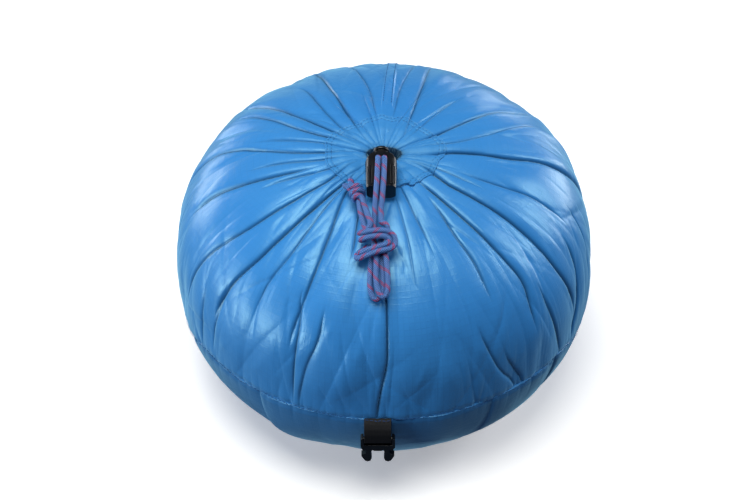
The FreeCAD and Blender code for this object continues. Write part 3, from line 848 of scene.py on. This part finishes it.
def make_cords():
    """The two ends of the drawcord, each from the lock to its own tail."""
    turns = wound_turns(END_KNOT, along=(-3.4, 8.4, 1.0), radius=4.25, pitch=4.4, turns=2.0, start=2.2)
    left = strand("cord_left_line", STRAND_LEFT, at_knot(KNOT_DOWN_LEFT), BIGHT_UNDER,
                  at_knot(KNOT_UP_LEFT), RETURN_LEFT, THROUGH_END_KNOT, TAIL_LEFT)
    right = strand("cord_right_line", STRAND_RIGHT, at_knot(KNOT_DOWN_RIGHT), BIGHT_OVER,
                   at_knot(KNOT_UP_RIGHT), RETURN_RIGHT, turns, TAIL_RIGHT)
    cords = []
    for name, curve in (("cord_left", left), ("cord_right", right)):
        line = centre_line(curve)
        bpy.data.objects.remove(curve)
        cords.append((braid(name, line), line))
    return cords


# -------- webbing

def strap_path():
    """Middle line (y, z) of the tab: out of the seam, down, round the bar and back up behind it."""
    bar_low, bar_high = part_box("buckle_frame")
    bar_z = 83.0
    bar_y = (bar_low.y + bar_high.y) / 2 / MM
    r = 2.75
    front = [(-163.6, 99.0), (-165.6, 98.6), (-167.6, 97.0), (-169.9, 94.2), (bar_y - r, 90.0),
             (bar_y - r, 85.6)]
    turn = [(bar_y + r * math.cos(a), bar_z + r * math.sin(a)) for a in np.linspace(math.pi, TAU, 13)]
    back = [(bar_y + r, 86.0), (bar_y + r - 0.2, 90.0), (-166.8, 94.6), (-165.4, 97.4), (-163.2, 98.2)]
    return np.array(front + turn + back)


def make_strap():
    """A folded length of ribbed webbing with rolled edges."""
    path = strap_path()
    arc = arc_of(path)
    at = np.linspace(0, arc[-1], 150)
    line = along(path, arc, at)
    for _ in range(6):
        line[1:-1] = (line[:-2] + 2 * line[1:-1] + line[2:]) / 4
    tangent = unit(np.gradient(line, axis=0))
    normal = np.stack([-tangent[:, 1], tangent[:, 0]], -1)
    low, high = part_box("buckle_webbing")
    middle = (low.x + high.x) / 2 / MM
    half = (high.x - low.x) / 2 / MM - 0.15
    columns = 90
    across = np.linspace(-1, 1, columns)
    thick = 0.66
    ribs = 0.07 * np.abs(np.sin(across * math.pi * 9))
    weft = 0.05 * np.cos(TAU * at / 1.3)[:, None] * np.cos(across * math.pi * 18)
    edge = np.sqrt(np.clip(1 - np.clip((np.abs(across) - 0.965) / 0.035, 0, 1) ** 2, 0, 1))
    rise = thick * edge + (ribs + weft) * edge
    x = np.broadcast_to(middle + across * half, rise.shape)
    layers = []
    for face in (1, -1):
        y, z = (line[:, k:k + 1] + face * normal[:, k:k + 1] * rise for k in range(2))
        layers.append(np.stack([x, y, z], -1)[:, ::face])
    return make_object("buckle_strap", np.concatenate(layers, 1), tube_faces(len(at), 2 * columns))


# -------- materials

class Nodes:
    """Short ways to add and join shader nodes."""

    def __init__(self, name):
        self.material = bpy.data.materials.new(name)
        self.material.use_nodes = True
        self.tree = self.material.node_tree
        self.shader = self.tree.nodes["Principled BSDF"]

    def node(self, kind, inputs=None, **settings):
        made = self.tree.nodes.new(kind)
        for key, value in settings.items():
            setattr(made, key, value)
        for key, value in (inputs or {}).items():
            self.feed(made.inputs[key], value)
        return made

    def feed(self, socket, value):
        """Joins another node's output to a socket, or sets the socket's own value."""
        if isinstance(value, bpy.types.NodeSocket):
            self.tree.links.new(value, socket)
        else:
            socket.default_value = value

    def space(self):
        """The piece's own coordinates, in metres."""
        return self.node("ShaderNodeTexCoord").outputs["Object"]

    def math(self, operation, *values):
        made = self.node("ShaderNodeMath", dict(enumerate(values)), operation=operation)
        return made.outputs[0]

    def noise(self, vector, scale, detail=3.0, rough=0.5):
        inputs = {"Vector": vector, "Scale": scale, "Detail": detail, "Roughness": rough}
        return self.node("ShaderNodeTexNoise", inputs).outputs["Fac"]

    def fibres(self, vector, scale, detail):
        """Noise drawn out by a different scale along each axis."""
        drawn = self.node("ShaderNodeMapping", {0: vector, "Scale": scale}).outputs[0]
        return self.noise(drawn, 1.0, detail, 0.6)

    def mapped(self, value, low, high, to_low, to_high):
        made = self.node("ShaderNodeMapRange", {0: value, 1: low, 2: high, 3: to_low, 4: to_high})
        return made.outputs[0]

    def mix(self, factor, a, b):
        made = self.node("ShaderNodeMix", data_type="RGBA")
        for index, value in ((0, factor), (6, a), (7, b)):
            self.feed(made.inputs[index], value)
        return made.outputs[2]

    def bump(self, height, strength, distance, normal=None):
        inputs = {"Height": height, "Strength": strength, "Distance": distance}
        if normal is not None:
            inputs["Normal"] = normal
        return self.node("ShaderNodeBump", inputs).outputs[0]

    def set(self, **values):
        for key, value in values.items():
            self.feed(self.shader.inputs[key.replace("_", " ")], value)


def srgb(r, g, b):
    """Linear colour from 0-255 display values."""
    def linear(c):
        c /= 255
        return c / 12.92 if c <= 0.04045 else ((c + 0.055) / 1.055) ** 2.4
    return (linear(r), linear(g), linear(b), 1.0)


def shaded(colour, factor, lift=0.0):
    """A colour made lighter or darker, up to white."""
    return tuple(min(c * factor + lift, 1.0) for c in colour[:3]) + (1.0,)


def weave_lines(n, coordinate, pitch, width):
    """1 on thin lines every `pitch` metres along a coordinate, 0 between them."""
    phase = n.math("FRACT", n.math("DIVIDE", coordinate, pitch))
    off = n.math("ABSOLUTE", n.math("SUBTRACT", phase, 0.5))
    return n.mapped(off, 0.5 - width / pitch, 0.5, 0.0, 1.0)


def fabric_material(name, colour, deep, rough, gloss, grid=0.0052):
    """Coated nylon ripstop: fine weave, a raised grid every `grid` metres, a satin face, and painted shade
    where fold_shade is set.
    """
    n = Nodes(name)
    uv = n.node("ShaderNodeUVMap", uv_map="UVMap").outputs[0]
    split = n.node("ShaderNodeSeparateXYZ", {0: uv})
    u, v = split.outputs[0], split.outputs[1]
    space = n.space()
    cloud = n.noise(space, 9.0, 4.0, 0.55)
    slub_u = n.fibres(uv, (30.0, 1400.0, 1.0), 2.0)
    slub_v = n.fibres(uv, (1400.0, 30.0, 1.0), 2.0)
    lines = n.math("MAXIMUM", weave_lines(n, u, grid, 0.0006), weave_lines(n, v, grid, 0.0006))
    base = n.mix(n.mapped(cloud, 0.3, 0.7, 0.0, 1.0), deep, colour)
    weft, warp = (n.mapped(slub, 0.3, 0.7, -0.5, 0.5) for slub in (slub_u, slub_v))
    threads = n.math("ADD", weft, warp)
    light = shaded(colour, 1.16)
    dark = shaded(colour, 0.86)
    woven = n.mix(n.mapped(threads, -0.6, 0.6, 0.35, 0.65), dark, light)
    tone = n.mix(0.45, base, woven)
    tone = n.mix(n.math("MULTIPLY", lines, 0.40), tone, dark)
    # Painted shade: fold_shade darkens the colour towards deep navy in closed folds, down the throat and on
    # tucked edges
    fold = n.node("ShaderNodeAttribute", attribute_name="fold_shade").outputs["Fac"]
    tone = n.mix(n.math("MULTIPLY", fold, 0.92), tone, srgb(4, 14, 40))
    fine = n.math("ADD", n.math("MULTIPLY", threads, 0.5), n.math("MULTIPLY", lines, 0.8))
    crinkle = n.noise(space, 90.0, 3.0, 0.6)
    normal = n.bump(crinkle, 0.25, 0.0012)
    normal = n.bump(fine, 0.35, 0.00012, normal)
    shine = n.mapped(n.noise(space, 25.0, 3.0, 0.5), 0.3, 0.7, rough - 0.04, rough + 0.05)
    n.set(Base_Color=tone, Roughness=shine, Normal=normal)
    n.set(Specular_IOR_Level=gloss, Specular_Tint=(0.50, 0.92, 0.92, 1.0))
    n.set(Sheen_Weight=0.85, Sheen_Roughness=0.35, Sheen_Tint=(0.30, 0.65, 0.85, 1.0))
    return n.material


def thread_material(name, colour):
    n = Nodes(name)
    space = n.space()
    twist = n.noise(space, 2600.0, 2.0, 0.6)
    n.set(Base_Color=n.mix(twist, shaded(colour, 0.7), colour))
    n.set(Roughness=n.mapped(twist, 0.0, 1.0, 0.5, 0.7))
    n.set(Normal=n.bump(twist, 0.4, 0.0001), Specular_IOR_Level=0.2)
    return n.material


def cord_material():
    """Plaited sheath: periwinkle carriers with painted shade between them, and red-magenta flecks along
    some.
    """
    n = Nodes("cord_sheath")
    uv = n.node("ShaderNodeUVMap", uv_map="UVMap").outputs[0]
    split = n.node("ShaderNodeSeparateXYZ", {0: uv})
    round_it, length = split.outputs[0], split.outputs[1]
    turns = n.math("DIVIDE", length, LAY * MM)
    right = n.math("MULTIPLY", n.math("ADD", round_it, turns), CARRIERS)
    left = n.math("MULTIPLY", n.math("SUBTRACT", round_it, turns), CARRIERS)
    right_wave = n.math("COSINE", n.math("MULTIPLY", right, TAU))
    left_wave = n.math("COSINE", n.math("MULTIPLY", left, TAU))
    over = n.math("GREATER_THAN", right_wave, n.math("MAXIMUM", left_wave, 0.05))
    never_negative = 20 * CARRIERS + 0.5
    right_id = n.math("MODULO", n.math("FLOOR", n.math("ADD", right, never_negative)), CARRIERS)
    red = n.math("MULTIPLY", over, n.math("COMPARE", right_id, 2.5, 0.6))
    top = n.math("MAXIMUM", right_wave, left_wave)
    space = n.space()
    speck = n.noise(space, 1500.0, 2.0, 0.6)
    # Painted shade: the blue and the red darken to near black in the gaps between carriers, with random
    # specks on top
    shade = n.mapped(top, 0.50, 1.0, 0.0, 1.0)
    rib_shade_and_speck = n.math("MULTIPLY", shade, n.mapped(speck, 0.2, 0.8, 0.7, 1.0))
    blue = n.mix(rib_shade_and_speck, srgb(8, 14, 52), srgb(100, 156, 238))
    crimson = n.mix(shade, srgb(84, 6, 30), srgb(206, 34, 78))
    n.set(Base_Color=n.mix(red, blue, crimson), Roughness=n.mapped(speck, 0.2, 0.8, 0.5, 0.7))
    n.set(Normal=n.bump(speck, 0.35, 0.0002), Specular_IOR_Level=0.3)
    return n.material


def plastic_material(name, colour, rough):
    """Moulded acetal: fine spark-eroded texture, slight wear on its shine and softened edges."""
    n = Nodes(name)
    space = n.space()
    grain = n.noise(space, 1800.0, 3.0, 0.6)
    smear = n.noise(space, 160.0, 4.0, 0.6)
    light = shaded(colour, 1.8, 0.002)
    soft = n.node("ShaderNodeBevel", {"Radius": 0.0004}, samples=4).outputs[0]
    n.set(Base_Color=n.mix(n.mapped(smear, 0.35, 0.75, 0.0, 1.0), colour, light))
    n.set(Roughness=n.mapped(smear, 0.3, 0.7, rough - 0.06, rough + 0.08))
    n.set(Normal=n.bump(grain, 0.18, 0.00008, soft), Specular_IOR_Level=0.5)
    return n.material


def webbing_material():
    n = Nodes("webbing_nylon")
    space = n.space()
    fibres = n.fibres(space, (2600.0, 500.0, 500.0), 3.0)
    n.set(Base_Color=n.mix(fibres, srgb(3, 3, 5), srgb(16, 17, 21)))
    n.set(Roughness=n.mapped(fibres, 0.2, 0.8, 0.55, 0.8))
    n.set(Normal=n.bump(fibres, 0.5, 0.0002), Specular_IOR_Level=0.25)
    return n.material


def steel_material():
    n = Nodes("spring_steel_wire")
    space = n.space()
    drawn = n.noise(space, 1200.0, 3.0, 0.6)
    n.set(Base_Color=n.mix(drawn, srgb(120, 122, 126), srgb(176, 178, 182)), Metallic=1.0)
    n.set(Roughness=n.mapped(drawn, 0.2, 0.8, 0.25, 0.42))
    return n.material


def filling_material():
    n = Nodes("packed_load_cloth")
    space = n.space()
    folds = n.noise(space, 60.0, 5.0, 0.6)
    n.set(Base_Color=n.mix(folds, srgb(14, 24, 40), srgb(30, 52, 82)))
    n.set(Roughness=n.mapped(folds, 0.2, 0.8, 0.6, 0.8))
    n.set(Normal=n.bump(folds, 0.6, 0.002))
    return n.material


def floor_material():
    n = Nodes("studio_floor")
    space = n.space()
    tone = n.noise(space, 2.0, 3.0, 0.5)
    n.set(Base_Color=n.mix(tone, (0.86, 0.86, 0.87, 1), (0.90, 0.90, 0.91, 1)), Roughness=0.7)
    n.set(Emission_Color=(1.0, 1.0, 1.0, 1.0), Emission_Strength=0.30)
    return n.material


def paint(obj, material):
    """Gives a piece or a carried-over CAD node one material."""
    obj.data.materials.clear()
    obj.data.materials.append(material)


# -------- build the object

shell_cloth = make_shell()
collar_cloth, collar_points, collar_shares, collar_normals = make_collar()
base_cloth = make_base()
stitch_rows = make_stitches(collar_points, collar_shares, collar_normals)
load = make_contents()
cords = make_cords()
strap = make_strap()

blue_cloth = fabric_material("shell_ripstop", srgb(46, 118, 184), srgb(38, 107, 175), 0.34, 0.66)
collar_fabric = fabric_material("collar_ripstop", srgb(48, 118, 180), srgb(40, 107, 172), 0.40, 0.40)
# The base's blue is the shell's made darker: painted shade for the underside
base_fabric = fabric_material("base_ripstop", srgb(42, 102, 160), srgb(34, 92, 148), 0.36, 0.60)
blue_thread = thread_material("seam_thread", srgb(22, 62, 116))
sheath = cord_material()
black_plastic = plastic_material("lock_acetal", srgb(3, 3, 4), 0.30)
buckle_black = plastic_material("buckle_acetal", srgb(4, 4, 5), 0.18)
webbing = webbing_material()

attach(shell_cloth, "sack")
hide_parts("body_shell", "back_seam_tape", "base_seam_tape")
paint(shell_cloth, blue_cloth)

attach(collar_cloth, "sack")
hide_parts("drawcord_channel")
paint(collar_cloth, collar_fabric)

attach(base_cloth, "sack")
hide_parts("base_panel")
paint(base_cloth, base_fabric)

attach(load, "sack")
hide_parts("packed_contents")
paint(load, filling_material())

for row in stitch_rows:
    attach(row, "sack")
    paint(row, blue_thread)

CORD_NODES = {
    "cord_left": ("cord_strand_left", "cord_bight_under", "cord_return_left", "cord_tail_left",
                  "cord_middle_knot"),
    "cord_right": ("cord_strand_right", "cord_bight_over", "cord_return_right", "cord_tail_right",
                   "cord_end_knot"),
}
for cord, line in cords:
    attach(cord, "sack")
    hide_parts(*CORD_NODES[cord.name])
    paint(cord, sheath)
    print("cord", cord.name, round(length_of(line), 1), "mm")

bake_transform(strap)
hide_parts("buckle_webbing")
paint(strap, webbing)

for node, material in (
    ("cord_lock_barrel", black_plastic),
    ("cord_lock_plunger", black_plastic),
    ("cord_lock_spring", steel_material()),
    ("buckle_frame", buckle_black),
    ("buckle_left_prong", buckle_black),
    ("buckle_right_prong", buckle_black),
    ("drawcord_loop", sheath),
):
    paint(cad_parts[node], material)


# -------- camera, floor and light

def add_camera():
    camera = link(bpy.data.objects.new("camera", bpy.data.cameras.new("camera")))
    camera.data.lens = 63.8
    camera.data.sensor_width = 36
    camera.data.shift_x = -0.012
    camera.data.shift_y = 0.012
    elevation = math.radians(42.5)
    distance = 1.0725
    target = Vector((0, 0, EQUATOR_Z * MM))
    away = Vector((0, -math.cos(elevation), math.sin(elevation)))
    camera.location = target + away * distance
    camera.rotation_euler = (math.pi / 2 - elevation, 0, 0)
    bpy.context.scene.camera = camera


def add_floor():
    bpy.ops.mesh.primitive_plane_add(size=12, location=(0, 0, -0.0006))
    floor = bpy.context.object
    floor.name = "studio_floor"
    paint(floor, floor_material())
    floor.visible_diffuse = False        # the floor lights nothing, so the sack's underside stays dark
    floor.visible_glossy = False


def add_light(name, place, size, power, colour=(1, 1, 1), aim=(0, 0, 0.12)):
    light = bpy.data.lights.new(name, "AREA")
    light.shape = "RECTANGLE"
    light.size, light.size_y = size
    light.energy = power
    light.color = colour
    obj = link(bpy.data.objects.new(name, light))
    obj.location = place
    obj.rotation_euler = (Vector(aim) - Vector(place)).to_track_quat("-Z", "Y").to_euler()


def add_world(strength):
    world = bpy.data.worlds.new("studio")
    world.use_nodes = True
    background = world.node_tree.nodes["Background"]
    background.inputs["Color"].default_value = (0.55, 0.80, 1.25, 1)
    background.inputs["Strength"].default_value = strength
    bpy.context.scene.world = world


add_camera()
add_floor()
add_light("overhead_softbox", (-0.16, -0.26, 1.36), (1.0, 0.72), 21, (1.0, 0.985, 0.92), (0, -0.04, 0.1))
add_light("left_back_softbox", (-1.35, 1.00, 0.22), (0.9, 0.4), 7)
add_light("left_side_fill", (-1.6, -0.2, 0.35), (0.6, 0.7), 6)
add_light("right_back_softbox", (1.40, 1.00, 0.25), (0.7, 0.5), 8)
add_light("right_side_fill", (1.40, 0.30, 0.95), (0.5, 0.7), 10)
add_light("back_right_panel", (0.80, 1.9, 0.35), (0.35, 0.4), 3)
add_light("front_left_fill", (-1.6, -0.9, 0.12), (0.9, 0.4), 17)
add_world(0.10)
bpy.context.scene.view_settings.view_transform = "Standard"
